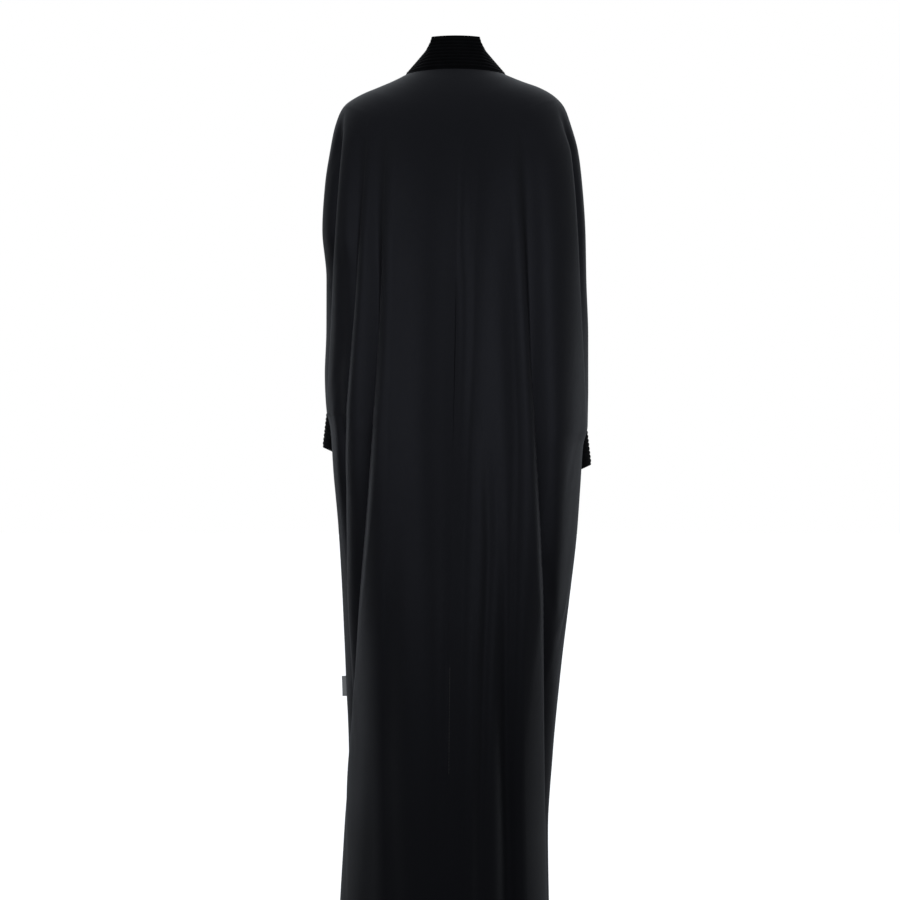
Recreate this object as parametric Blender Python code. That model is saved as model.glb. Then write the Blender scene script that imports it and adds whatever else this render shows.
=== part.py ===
"""Abaya cloak, worn and open at the front: a black crepe body with sleeves cut in one with it, pin-tucked
velvet collar band and cuffs, and a small blank label in the left side seam.

Metres, +Z up. The wearer faces +Y and their right hand is at +X. The origin lies between the two
shoulder points of the neckline, just above the seam at the nape.
"""

from collections import namedtuple

import bmesh
import bpy
import numpy as np
from mathutils import Matrix

# ---------------------------------------------------------------- driving dimensions
CLOTH = 0.0020  # wall of the crepe
VELVET = 0.0024  # wall of the velvet, without its tucks
TUCK_RISE = 0.0012  # how far a tuck stands out of the velvet
BAND_WIDTH, BAND_TUCKS = 0.0625, 9
CUFF_LENGTH, CUFF_TUCKS = 0.0680, 9
TUCK_MARGIN = 0.06  # plain share of a tucked width at each edge
SEAM_GAP = 0.00044
RING_GAP = 0.00080
CLOSE_FRONT = 0.0070  # the front bands' free edges stay this far from the middle
LABEL_HEIGHT, LABEL_REACH, LABEL_THICK = 0.034, 0.0075, 0.0010
LABEL_ROW, LABEL_DROP, LABEL_GAP = 17, 0.004, 0.0004

# Sections, from the neckline to the hem, with a column for each size. left and right are the widths of
# the outline, side is the height of the seam over the shoulder and arm and down the side, seam is that
# seam's angle from the middle of the back, and opening is the front edge's distance from the middle.
Section = namedtuple("Section", "side left right y_side seam back y_back front y_front opening power")
SECTIONS = [
    Section(-0.013, 0.0865, 0.0820, 0.000, 90, -0.0085, -0.066, -0.018, 0.032, 0.0800, 2.10),
    Section(-0.024, 0.1088, 0.1098, 0.000, 90, -0.034, -0.084, -0.040, 0.048, 0.0890, 2.10),
    Section(-0.034, 0.1324, 0.1376, 0.000, 90, -0.058, -0.097, -0.066, 0.068, 0.0885, 2.15),
    Section(-0.047, 0.1624, 0.1606, 0.000, 91, -0.084, -0.107, -0.094, 0.084, 0.0865, 2.20),
    Section(-0.066, 0.1894, 0.1786, 0.000, 92, -0.113, -0.115, -0.122, 0.097, 0.0840, 2.20),
    Section(-0.098, 0.2034, 0.1906, 0.000, 94, -0.146, -0.122, -0.154, 0.108, 0.0810, 2.25),
    Section(-0.142, 0.2124, 0.2021, 0.000, 96, -0.187, -0.128, -0.192, 0.117, 0.0770, 2.30),
    Section(-0.200, 0.2209, 0.2091, -0.002, 98, -0.238, -0.133, -0.240, 0.124, 0.0725, 2.30),
    Section(-0.275, 0.2251, 0.2142, -0.003, 99, -0.304, -0.137, -0.304, 0.130, 0.0690, 2.35),
    Section(-0.360, 0.2180, 0.2162, 0.004, 99, -0.380, -0.140, -0.380, 0.135, 0.0670, 2.40),
    Section(-0.450, 0.2180, 0.2194, 0.010, 99, -0.463, -0.143, -0.463, 0.139, 0.0665, 2.40),
    Section(-0.535, 0.2210, 0.2194, 0.015, 100, -0.543, -0.147, -0.543, 0.143, 0.0665, 2.40),
    Section(-0.600, 0.2192, 0.2190, 0.014, 103, -0.605, -0.150, -0.605, 0.146, 0.0665, 2.40),
    Section(-0.635, 0.2114, 0.2106, -0.004, 126, -0.650, -0.152, -0.650, 0.148, 0.0665, 2.35),
    Section(-0.700, 0.2064, 0.2061, -0.008, 124, -0.708, -0.155, -0.708, 0.151, 0.0665, 2.30),
    Section(-0.785, 0.1978, 0.2000, -0.008, 118, -0.790, -0.160, -0.790, 0.156, 0.0665, 2.25),
    Section(-0.890, 0.1914, 0.1881, -0.004, 106, -0.892, -0.167, -0.892, 0.163, 0.0665, 2.20),
    Section(-1.020, 0.1869, 0.1736, 0.000, 96, -1.020, -0.177, -1.020, 0.172, 0.0670, 2.15),
    Section(-1.150, 0.1821, 0.1611, 0.000, 92, -1.150, -0.187, -1.150, 0.182, 0.0680, 2.10),
    Section(-1.290, 0.1884, 0.1528, 0.000, 92, -1.290, -0.198, -1.290, 0.193, 0.0690, 2.05),
    Section(-1.460, 0.2004, 0.1556, 0.000, 92, -1.460, -0.212, -1.460, 0.206, 0.0700, 2.00),
]
WRIST = 12  # a cuff's ring takes up the rows from this section to the next
HEM = len(SECTIONS) - 1

# The hanging folds: each has a crest with a steep valley beside it, on the side away from the middle where
# edge is -1. x is the crest's distance from the middle plane and depth the valley's, at six heights. steep
# and gentle are the valley's widths, in degrees of section.
Fold = namedtuple("Fold", "side face edge steep gentle x depth")
FOLD_HEIGHTS = (-0.08, -0.15, -0.38, -0.66, -1.00, -1.46)
FOLDS = [
    Fold(-1, "back", -1, 2.6, 7.0, (0.187, 0.1945, 0.211, 0.218, 0.190, 0.204), (5, 12, 8, 0, 0, 0)),
    Fold(-1, "back", -1, 3.0, 8.0, (0.1475, 0.151, 0.1685, 0.186, 0.182, 0.180), (2, 5, 10, 14, 3, 0)),
    Fold(-1, "back", -1, 3.2, 10.0, (0.1135, 0.1155, 0.124, 0.138, 0.1670, 0.197), (2, 5, 10, 16, 17, 5)),
    Fold(-1, "back", 1, 3.4, 9.0, (0.100, 0.100, 0.1025, 0.110, 0.123, 0.116), (0, 0, 2, 3, 3, 5)),
    Fold(1, "back", 1, 3.0, 7.0, (0.032, 0.0315, 0.0265, 0.0155, 0.009, 0.009), (0, 4, 6, 6, 4, 3)),
    Fold(1, "back", -1, 3.4, 9.0, (0.032, 0.032, 0.031, 0.026, 0.026, 0.026), (0, 0, 2, 4, 6, 6)),
    Fold(1, "back", 1, 3.0, 10.0, (0.087, 0.087, 0.0885, 0.097, 0.0955, 0.102), (0, 0, 5, 10, 15, 18)),
    Fold(1, "back", -1, 3.0, 9.0, (0.0965, 0.100, 0.113, 0.127, 0.141, 0.149), (2, 5, 9, 13, 14, 7)),
    Fold(1, "back", -1, 2.6, 7.0, (0.168, 0.1915, 0.208, 0.217, 0.174, 0.158), (5, 10, 7, 0, 0, 0)),
    Fold(1, "front", -1, 5.0, 10.0, (0.140, 0.145, 0.1465, 0.135, 0.130, 0.1275), (0, 0, 3, 6, 12, 19)),
    Fold(1, "front", 1, 5.0, 9.0, (0.130, 0.130, 0.1275, 0.1195, 0.1125, 0.107), (0, 0, 5, 9, 15, 22)),
    Fold(-1, "front", -1, 5.0, 10.0, (0.145, 0.145, 0.1465, 0.135, 0.138, 0.1505), (0, 0, 3, 6, 12, 17)),
    Fold(-1, "front", 1, 5.0, 9.0, (0.125, 0.125, 0.123, 0.115, 0.1155, 0.119), (0, 0, 4, 10, 17, 24)),
]
FOLD_TOP, FOLD_FULL = -0.055, -0.15  # folds begin under the shoulder and have full depth from here
CENTRE_SEAM = (0.000, 0.000, -0.003, -0.008, -0.0144, -0.018)  # x of the centre-back seam at those heights
OVERHANG = 0.50  # how far a steep fold edge leans over its valley, as a share of the depth
CREST_RISE = 0.25  # and how far its crest stands out, as a share of the depth
CREST_PLACE, CREST_WIDTH = 2.1, 1.3  # in widths of the steep side
LEAST_STEP = 2.2  # least angle between the marked columns
FOLDS_LEAD = 5.0  # from this level the columns follow the folds
WEB_MARKS = (0.18, 0.40, 0.64, 0.86)
WIDEST = 88.0  # the back's last column before its web to the side seam
CENTRE_FULL = 4  # the centre-back seam leaves the middle plane down to this level

# The wrist, on the right side: centre and half axes of the ring where a cuff is sewn on.
RING_X, RING_Y, RING_Z = 0.181, 0.050, -0.6175
RING_RX, RING_RY = 0.039, 0.033
RING_TILT = 0.44  # drop for each metre towards the body
RING_STEPS = 6  # rows along half of the ring
LEFT_LIFT = 0.0295  # the left hand is held this much higher
LIFT_SPREAD, LIFT_EVEN = 2.6, 6  # how that lift fades up and down, and how even it is round the arm
CUFF_FLARE = 0.0030  # growth of the cuff towards its open end
CUFF_LEAN = 0.0040  # its open end is this much further from the body
# Where the side seam falls below the wrist, beside the cuff, until it is back in the plain section.
Fall = namedtuple("Fall", "level x y share")
FALLS = [
    Fall(13.0, 0.1420, 0.050, 1.0),
    Fall(13.15, 0.1350, 0.050, 1.0),
    Fall(14.0, 0.1370, 0.047, 1.0),
    Fall(15.0, 0.1500, 0.036, 1.0),
    Fall(16.0, 0.1720, 0.020, 0.8),
    Fall(17.0, 0.1760, 0.010, 0.0),
]
RING_UNDER = 0.15  # the level below the ring at which the seam is clear of the cuff
WEB_BEGIN, WEB_END = (11, 12), (15.5, 17)  # between these levels the cloth is led to the wrist
BEHIND_END = (14, 16)  # it comes back from behind the cuff
RISE_BEGIN, RISE_END = (11.5, 12), (12.8, 13.15)  # it comes to the cuff from above
WEB_ROUND = 0.012  # how far the drape turns round at its outer edge behind the cuff
WEB_BACK = (0.015, 0.040)  # how far the web reaches back from its seam, before and behind the cuff
WEB_INWARD = 0.004  # and how far towards the body
WEB_RISE = 0.010  # and how far it rises above it
WEB_FRONT = 150.0  # angle of the section where the front is free of the wrist
FRONT_CURVE = ((0.0, 0.45, 0.3), (0.25, 0.97, 0.7))  # how the front leaves its seam, in x, y and z
OUTLINE_REACH = 130.0  # the outline is looked for between these angles to the left and right
OUTLINE_SOFT, OUTLINE_COUNT = 0.0015, 12  # rounding of its widest point, and how many degrees share it
LEVELLING = (85, 95)  # between these angles the web takes over from the outline's widths

# The collar band's slope at places along its seam: -1 is the middle of the back, 0 is the shoulder
# point, and from there a place is a section's number. The three columns are a direction.
Slope = namedtuple("Slope", "place inward forward up")
SLOPES = [
    Slope(-1.00, 0.000, 0.365, 0.931),
    Slope(-0.70, 0.045, 0.369, 0.928),
    Slope(-0.50, 0.335, 0.331, 0.882),
    Slope(-0.25, 0.535, 0.420, 0.733),
    Slope(0.00, 0.495, 0.630, 0.598),
    Slope(1.00, 0.560, 0.70, 0.30),
    Slope(2.00, 0.660, 0.66, 0.05),
    Slope(3.00, 0.760, 0.52, -0.08),
    Slope(4.00, 0.840, 0.40, -0.14),
    Slope(6.00, 0.960, 0.22, -0.10),
    Slope(8.00, 1.000, 0.10, -0.02),
    Slope(9.00, 1.000, 0.06, 0.00),
    Slope(HEM, 1.000, 0.03, 0.00),
]
BAND_BULGE, BULGE_BEGIN = 0.0030, (1, 6)  # its roundness, and the places where that begins

# ---------------------------------------------------------------- resolution
ROWS_ABOVE = [0, 0.5, 1, 1.5, 2, 2.5, 3, 3.5, 4, 4.5, 5, 5.5, 6, 7, 8, 9, 10, 11, 11.5]
ROWS_RING = [WRIST + step / RING_STEPS for step in range(RING_STEPS + 1)]
ROWS_BELOW = [13.15, 13.6, 14.2, 15, 16, 17, 18, 19, 19.5, 20]
ROWS = np.array(ROWS_ABOVE + ROWS_RING + ROWS_BELOW, float)
BAND_ROWS = [row for row in ROWS_ABOVE if row != 11.5] + [12, 13] + ROWS_BELOW[2:]
COLUMN_ANGLE = 6.0
NECK_STEP = 5.5  # least angle between the band's rows round the back of the neck
NORMAL_PASSES = 2
HALF_STEP = 0.5  # degrees to each side, for the direction along a section
SEAM_EXACT = 14  # down to this level the side seam's points are the ring's
SIDES = {"left": -1, "right": 1}
MM = 0.001


# ---------------------------------------------------------------- smooth curves through tables
def smooth(keys, values, at):
    """A curve through the values that never overshoots them (a monotone cubic)."""
    keys, values, at = (np.asarray(a, float) for a in (keys, values, at))
    if keys[0] > keys[-1]:
        keys, values = keys[::-1], values[::-1]
    span = np.diff(keys)
    slope = np.diff(values) / span
    tangent = np.zeros(len(keys))
    tangent[0], tangent[-1] = slope[0], slope[-1]
    steady = slope[:-1] * slope[1:] > 0
    before = np.where(steady, slope[:-1], 1)
    after = np.where(steady, slope[1:], 1)
    weight_before, weight_after = 2 * span[1:] + span[:-1], span[1:] + 2 * span[:-1]
    mean = (weight_before + weight_after) / (weight_before / before + weight_after / after)
    tangent[1:-1] = np.where(steady, mean, 0)
    at = np.clip(at, keys[0], keys[-1])
    i = np.clip(np.searchsorted(keys, at, side="right") - 1, 0, len(keys) - 2)
    t = (at - keys[i]) / span[i]
    return (
        values[i] * (1 + 2 * t) * (1 - t) ** 2
        + tangent[i] * span[i] * t * (1 - t) ** 2
        + values[i + 1] * t * t * (3 - 2 * t)
        + tangent[i + 1] * span[i] * t * t * (t - 1)
    )


def section(column, v):
    return smooth(range(len(SECTIONS)), [getattr(row, column) for row in SECTIONS], v)


def ease(t):
    t = np.clip(t, 0, 1)
    return t * t * (3 - 2 * t)


def phase(levels, v):
    """0 before the first level and 1 after the second."""
    return ease((v - levels[0]) / (levels[1] - levels[0]))


def unit(vectors):
    return vectors / np.linalg.norm(vectors, axis=-1, keepdims=True)


# ---------------------------------------------------------------- the draped body
def middle(v):
    return (section("right", v) - section("left", v)) / 2


def half_width(v):
    return (section("right", v) + section("left", v)) / 2


def plain_section(angle, v):
    """The section with no folds. The angle runs from the middle of the back, left is negative."""
    turn = np.radians(np.abs(angle))
    side = np.where(angle < 0, -1.0, 1.0)
    power = 2 / section("power", v)
    across = np.abs(np.sin(turn)) ** power
    along = np.abs(np.cos(turn)) ** power
    back = turn < np.pi / 2
    y_side = section("y_side", v)
    y_end = np.where(back, section("y_back", v), section("y_front", v))
    lift = np.where(side < 0, LEFT_LIFT * np.exp(-(((v - WRIST - 0.5) / LIFT_SPREAD) ** 2)), 0.0)
    z_side = section("side", v)
    z_end = np.where(back, section("back", v), section("front", v))
    x = middle(v) + side * half_width(v) * across
    y = y_side + (y_end - y_side) * along
    z = z_side + (z_end - z_side) * np.cos(turn) ** 2 + lift * (1 - np.cos(turn) ** LIFT_EVEN)
    return np.stack([x, y, z], axis=-1)


def angle_at(side, face, x, v):
    """The angle of the point of the section that lies at this distance from the middle plane."""
    share = np.clip((x - side * middle(v)) / half_width(v), -1.0, 1.0)
    turn = np.degrees(np.arcsin(np.sign(share) * np.abs(share) ** (section("power", v) / 2)))
    return side * (turn if face == "back" else 180 - turn)


def centre_seam_angle(v):
    x = smooth(FOLD_HEIGHTS, CENTRE_SEAM, section("side", v)) * ease(v / CENTRE_FULL)
    return angle_at(1, "back", x, v)


def fold_lines(fold, v):
    """Angles of a fold's valley and of its crest, before the crest leans over."""
    z = section("side", v)
    x = smooth(FOLD_HEIGHTS, fold.x, z) + fold.edge * OVERHANG * smooth(FOLD_HEIGHTS, fold.depth, z) * MM
    crest = angle_at(fold.side, fold.face, x, v)
    outward = fold.side if fold.face == "back" else -fold.side
    return crest - outward * fold.edge * CREST_PLACE * fold.steep, crest


def folds(angle, v, z):
    """How far the folds move the cloth outwards, and along the section."""
    out, shift = np.zeros_like(z), np.zeros_like(z)
    begun = ease((FOLD_TOP - z) / (FOLD_TOP - FOLD_FULL))
    for fold in FOLDS:
        depth = smooth(FOLD_HEIGHTS, fold.depth, z) * MM * begun
        valley, crest = fold_lines(fold, v)
        to_crest = np.sign(crest - valley)
        past = (angle - valley) * to_crest
        width = np.where(past > 0, fold.steep, fold.gentle)
        rise = np.exp(-(((past / fold.steep - CREST_PLACE) / CREST_WIDTH) ** 2))
        out += depth * (CREST_RISE * rise - np.exp(-((past / width) ** 2)))
        shift -= depth * to_crest * OVERHANG * rise
    return out, shift


def ring_point(side, turn, front, drop=0.0, grow=0.0, lean=0.0):
    """A point of the wrist's ring: turn 0 is its outer side and pi is the side at the body."""
    lift = LEFT_LIFT if side < 0 else 0.0
    across = (RING_RX + grow) * np.cos(turn)
    forward = (RING_RY + grow) * np.sin(turn) * (1 if front else -1)
    height = RING_Z + lift + RING_TILT * across - drop
    return np.stack([side * (RING_X + lean + across), RING_Y + forward, height], axis=-1)


def side_seam(side, face, v):
    """The side seam: over the arm, round the cuff's ring, down beside the cuff and down the side."""
    plain = plain_section(side * section("seam", v), v)
    ring = ring_point(side, np.pi * np.clip(v - WRIST, 0, 1), face == "front")
    levels = [fall.level for fall in FALLS]
    x, y, share = (smooth(levels, [getattr(fall, name) for fall in FALLS], v) for name in Fall._fields[1:])
    beside = np.stack([side * x, y, plain[..., 2]], axis=-1)
    below = beside * share[..., None] + plain * (1 - share[..., None])
    drop = np.clip((v - WRIST - 1) / RING_UNDER, 0, 1)[..., None]
    below = below * drop + (ring * (1 - drop))
    above = plain + (ring - plain) * phase(WEB_BEGIN, v)[..., None]
    return np.where((v < WRIST)[..., None], above, np.where((v > WRIST + 1)[..., None], below, ring))


def bezier(points, t):
    start, one, two, end = points
    t = t[..., None]
    return (
        start * (1 - t) ** 3 + 3 * one * t * (1 - t) ** 2 + 3 * two * t * t * (1 - t) + end * t**3
    )


def webbed(angle, v):
    """The section with the cloth beside the side seam led to the wrist, no folds yet."""
    plain = plain_section(angle, v)
    side = np.where(angle < 0, -1, 1)
    size = np.abs(angle)
    seam = section("seam", v)
    points = plain
    for sign in (-1, 1):
        turn = np.pi * np.clip(v - WRIST, 0, 1)
        edge = plain_section(sign * (90.0 + 0 * v), v)
        span = np.maximum(seam - 90, 1e-3)
        end = side_seam(sign, "back", v)
        behind = turn / np.pi * (1 - phase(BEHIND_END, v))
        rise = WEB_RISE * phase(RISE_BEGIN, v) * (1 - phase(RISE_END, v))
        one, two = edge.copy(), end.copy()
        one[..., 1] += WEB_ROUND
        two[..., 0] -= sign * WEB_INWARD * behind
        two[..., 1] -= WEB_BACK[0] + WEB_BACK[1] * behind
        two[..., 2] += rise * np.sin(turn)
        back = bezier((edge, one, two, end), np.clip((size - 90) / span, 0, 1))
        end = side_seam(sign, "front", v)
        free = plain_section(sign * (WEB_FRONT + 0 * v), v)
        one, two = (end + (free - end) * np.array(share) for share in FRONT_CURVE)
        one[..., 2] += rise
        front = bezier((end, one, two, free), np.clip((size - seam) / (WEB_FRONT - seam), 0, 1))
        share = phase(WEB_BEGIN, v) * (1 - phase(WEB_END, v))
        web = np.where((size < seam)[..., None], back, front)
        here = (side == sign) & (size > 90) & (size < WEB_FRONT)
        points = np.where(here[..., None], plain + (web - plain) * share[..., None], points)
    return points


def raw_drape(angle, v):
    base = webbed(angle, v)
    along = webbed(angle + HALF_STEP, v) - webbed(angle - HALF_STEP, v)
    along[..., 2] = 0
    along = unit(along)
    outward = np.stack([along[..., 1], -along[..., 0], along[..., 2]], axis=-1)
    out, shift = folds(angle, v, base[..., 2])
    return base + outward * out[..., None] + along * shift[..., None]


def soft_largest(rows):
    """Each row's largest value, rounded off so that it changes smoothly from row to row."""
    largest = rows.max(axis=1)
    share = np.exp((rows - largest[:, None]) / OUTLINE_SOFT).sum(axis=1)
    return largest + OUTLINE_SOFT * np.log(share / OUTLINE_COUNT)


def draped(angle, v):
    """The body's outer face with its folds, as wide as the outline at every level."""
    levels, place = np.unique(v, return_inverse=True)
    place = place.reshape(v.shape)
    points = raw_drape(angle, v)
    around = np.arange(-OUTLINE_REACH, OUTLINE_REACH + 1, 1.0)
    reach = raw_drape(*np.broadcast_arrays(around, levels[:, None]))[..., 0]
    centre = middle(levels)
    leave_out = (np.abs(around) > 89) * (1 - phase(WEB_END, levels))[:, None]
    out_right = soft_largest(reach - centre[:, None] - leave_out)
    out_left = soft_largest(centre[:, None] - reach - leave_out)
    widest_right = (section("right", levels) - centre) / out_right
    widest_left = (section("left", levels) + centre) / out_left
    from_middle = points[..., 0] - centre[place]
    factor = np.where(from_middle > 0, widest_right[place], widest_left[place])
    levelled = phase(LEVELLING, np.abs(angle)) * phase(WEB_BEGIN, v) * (1 - phase(WEB_END, v))
    factor = factor + (1 - factor) * levelled
    points[..., 0] = centre[place] + from_middle * factor
    return points


# ---------------------------------------------------------------- the four panels
def marks(side, face, v):
    """Angles of a panel's edges, valleys and crests at each level, none closer than LEAST_STEP."""
    seam = section("seam", v)
    if face == "back":
        low, high = side * centre_seam_angle(v), seam
    else:
        low, high = seam, np.abs(angle_at(side, "front", section("opening", v), v))
    lines, kinds = [], []
    for fold in (f for f in FOLDS if f.side == side and f.face == face):
        valley, crest = (np.abs(line) for line in fold_lines(fold, v))
        lines += [valley, crest]
    lines.sort(key=lambda line: line.mean())
    if face == "back":
        lines += [np.full_like(v, WIDEST)]
        lines += [WIDEST + (high - WIDEST) * share for share in WEB_MARKS]
    lines = [low] + lines + [high]
    step = np.minimum(LEAST_STEP, (high - low) / len(lines) / 1.5)
    for i in range(1, len(lines)):
        lines[i] = np.maximum(lines[i], lines[i - 1] + step)
    lines[-1] = high
    for i in range(len(lines) - 2, -1, -1):
        lines[i] = np.minimum(lines[i], lines[i + 1] - step)
    lines[0] = low
    return lines


def panel_angles(side, face, v):
    """The angles of a panel's columns: even at the neckline, led by the folds from FOLDS_LEAD on."""
    lines = marks(side, face, v)
    full = marks(side, face, ROWS)
    counts = [max(1, round((b - a).mean() / COLUMN_ANGLE)) for a, b in zip(full, full[1:])]
    spans = []
    for low, high, columns in zip(lines, lines[1:], counts):
        spans += [low + (high - low) * step / columns for step in range(columns)]
    by_folds = np.stack(spans + [lines[-1]], axis=1)
    even = lines[0][:, None] + (lines[-1] - lines[0])[:, None] * np.linspace(0, 1, by_folds.shape[1])
    share = ease(v / FOLDS_LEAD)[:, None]
    return side * (even + (by_folds - even) * share)


def panel(side, face, rows):
    """A panel's outer face, as rows of points from the neckline to the hem."""
    angle = panel_angles(side, face, rows)
    points = draped(angle, np.broadcast_to(rows[:, None], angle.shape).copy())
    seam = -1 if face == "back" else 0
    wrist = (rows >= WRIST) & (rows < SEAM_EXACT)
    points[wrist, seam] = side_seam(side, face, rows)[wrist]
    return points


def point_normals(points, outward):
    """Normals at a grid's points, the sum of those of the faces round each point."""
    faces = outward * np.cross(points[1:, 1:] - points[:-1, :-1], points[:-1, 1:] - points[1:, :-1])
    faces = unit(faces)
    normals = np.zeros_like(points)
    for rows in (slice(None, -1), slice(1, None)):
        for columns in (slice(None, -1), slice(1, None)):
            normals[rows, columns] += faces
    return unit(normals)


def smoothed(normals):
    """Evens out the normals inside a panel, so that its wall doesn't cross itself in tight folds."""
    for _ in range(NORMAL_PASSES):
        inside = normals[1:-1, 1:-1] * 2
        inside = inside + normals[:-2, 1:-1] + normals[2:, 1:-1] + normals[1:-1, :-2] + normals[1:-1, 2:]
        normals = normals.copy()
        normals[1:-1, 1:-1] = unit(inside)
    return normals


def set_back(points, normals, column, amount):
    """Moves an edge column of the points in from its seam, square to the rim."""
    inner = column + 1 if column == 0 else column - 1
    way = points[:, inner] - points[:, column]
    way = way - (way * normals[:, column]).sum(-1, keepdims=True) * normals[:, column]
    points[:, column] += unit(way) * amount


# ---------------------------------------------------------------- walls
def wall(name, outer, inner, material, closed=False):
    """A closed wall between an outer and an inner grid that have the same number of rows.

    Rows run along the piece. The grids may have different numbers of columns, because only their
    first and last columns are joined, by rims. A closed wall's rows come back to their start.
    """
    mesh = bpy.data.meshes.new(name)
    bm = bmesh.new()
    grids = [[[bm.verts.new(point) for point in row] for row in grid] for grid in (outer, inner)]
    rows = len(outer)
    pairs = [(i, (i + 1) % rows) for i in range(rows if closed else rows - 1)]
    for grid, flip in zip(grids, (False, True)):
        for a, b in pairs:
            for j in range(len(grid[a]) - 1):
                corners = [grid[a][j], grid[a][j + 1], grid[b][j + 1], grid[b][j]]
                bm.faces.new(corners[::-1] if flip else corners)
    top, under = grids
    for a, b in pairs:
        bm.faces.new([top[b][0], under[b][0], under[a][0], top[a][0]])
        bm.faces.new([top[a][-1], under[a][-1], under[b][-1], top[b][-1]])
    if not closed:
        bm.faces.new(top[0][::-1] + under[0])
        bm.faces.new(top[-1] + under[-1][::-1])
    bmesh.ops.recalc_face_normals(bm, faces=bm.faces)
    bmesh.ops.triangulate(bm, faces=bm.faces)
    bm.to_mesh(mesh)
    bm.free()
    mesh.materials.append(material)
    mesh.shade_smooth()
    piece = bpy.data.objects.new(name, mesh)
    return piece


def make_material(name, colour, roughness, sheen):
    material = bpy.data.materials.new(name)
    material.use_nodes = True
    shader = material.node_tree.nodes["Principled BSDF"]
    shader.inputs["Base Color"].default_value = (*colour, 1.0)
    shader.inputs["Roughness"].default_value = roughness
    shader.inputs["Metallic"].default_value = 0.0
    shader.inputs["Sheen Weight"].default_value = sheen
    return material


def body_surfaces():
    """Outer faces and normals of the four panels, alike where they meet."""
    surfaces = {}
    for word, side in SIDES.items():
        for face in ("back", "front"):
            points = panel(side, face, ROWS)
            surfaces[face, word] = [points, point_normals(points, side)]
    seams = [(("back", "left"), 0, ("back", "right"), 0)]
    seams += [(("back", word), -1, ("front", word), 0) for word in SIDES]
    for one, column, other, other_column in seams:
        shared = unit(surfaces[one][1][:, column] + surfaces[other][1][:, other_column])
        surfaces[one][1][:, column] = shared
        surfaces[other][1][:, other_column] = shared
    for surface in surfaces.values():
        surface[1] = smoothed(surface[1])
    return surfaces


# ---------------------------------------------------------------- velvet band and cuffs
def between(start, end, t):
    return start[:, None] + (end - start)[:, None] * t


def rounded(bulge, t):
    return np.reshape(bulge, (-1, 1, 1)) * 4 * t * (1 - t)


def tucked(start, end, normals, tucks, bulge):
    """Rows of points from one edge to the other, with tucks raised between two plain margins."""
    t = TUCK_MARGIN + (1 - 2 * TUCK_MARGIN) * np.arange(2 * tucks + 1) / (2 * tucks)
    t = np.concatenate([[0], t, [1]])[:, None]
    rise = np.where(np.arange(len(t)) % 2 == 0, TUCK_RISE, 0.0)[:, None]
    rise[0] = rise[-1] = 0.0
    return between(start, end, t) + unit(between(*normals, t)) * (rise + rounded(bulge, t))


def plain_inside(start, end, normals, columns, bulge):
    """The inner face under a tucked one, VELVET below its plain surface."""
    t = (np.arange(columns + 1) / columns)[:, None]
    return between(start, end, t) + unit(between(*normals, t)) * (rounded(bulge, t) - VELVET)


def band_edges(surfaces):
    """The band's seam and free edge, the panels' normals and its bulge, from one hem to the other."""
    keys = [slope.place for slope in SLOPES]
    chosen = [int(np.argmin(np.abs(ROWS - row))) for row in BAND_ROWS]
    halves = []
    for word, side in SIDES.items():
        back, front = surfaces["back", word][0], surfaces["front", word][0]
        angles = np.abs(panel_angles(side, "back", ROWS)[0])
        columns = [0]
        for column, angle in enumerate(angles[:-1]):
            if angle - angles[columns[-1]] > NECK_STEP and angles[-1] - angle > NECK_STEP:
                columns.append(column)
        seam = np.concatenate([back[0, columns], front[chosen, -1]])
        back, front = surfaces["back", word][1], surfaces["front", word][1]
        beside = np.concatenate([back[0, columns], front[chosen, -1]])
        places = np.concatenate([angles[columns] / angles[-1] - 1, ROWS[chosen]])
        inward, forward, up = (
            smooth(keys, [getattr(slope, name) for slope in SLOPES], places)
            for name in ("inward", "forward", "up")
        )
        free = seam + BAND_WIDTH * unit(np.stack([-side * inward, forward, up], axis=1))
        in_front = places > 0
        free[in_front, 0] = side * np.maximum(side * free[in_front, 0], CLOSE_FRONT)
        bulge = BAND_BULGE * phase(BULGE_BEGIN, places)
        halves.append((seam, free, beside, bulge))
    return [np.concatenate([left[:0:-1], right]) for left, right in zip(*halves)]


def make_collar_band(surfaces, material):
    seam, free, beside, bulge = band_edges(surfaces)
    way = unit(free - seam)
    under = np.maximum(-(beside * way).sum(axis=1, keepdims=True), 0)  # the panels' rims lean under it
    normals = point_normals(np.stack([seam, free], axis=1), 1).transpose(1, 0, 2)
    start = seam + way * (SEAM_GAP + CLOTH * under)
    outer = tucked(start, free, normals, BAND_TUCKS, bulge)
    inner = plain_inside(start, free, normals, 3, bulge)
    return wall("collar_band", outer, inner, material)


def make_cuff(word, material):
    side = SIDES[word]
    steps = 2 * RING_STEPS
    turn = np.arange(steps) * 2 * np.pi / steps
    top = ring_point(side, turn, True, drop=RING_GAP)
    end = ring_point(side, turn, True, drop=CUFF_LENGTH, grow=CUFF_FLARE, lean=CUFF_LEAN)
    way = unit(end - top)
    around = np.roll(top, -1, axis=0) - np.roll(top, 1, axis=0)
    normals = [unit(np.cross(way, around)) * side] * 2
    outer = tucked(top, end, normals, CUFF_TUCKS, 0.0)
    inner = plain_inside(top, end, normals, 2, 0.0)
    return wall("cuff_" + word, outer, inner, material, closed=True)


def make_panel(face, word, surfaces, material):
    points, normals = surfaces[face, word]
    points = points.copy()
    for column in (0, -1):
        set_back(points, normals, column, SEAM_GAP / 2)
    if SIDES[word] < 0:
        points, normals = points[:, ::-1], normals[:, ::-1]
    return wall(face + "_" + word, points, points - normals * CLOTH, material)


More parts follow.
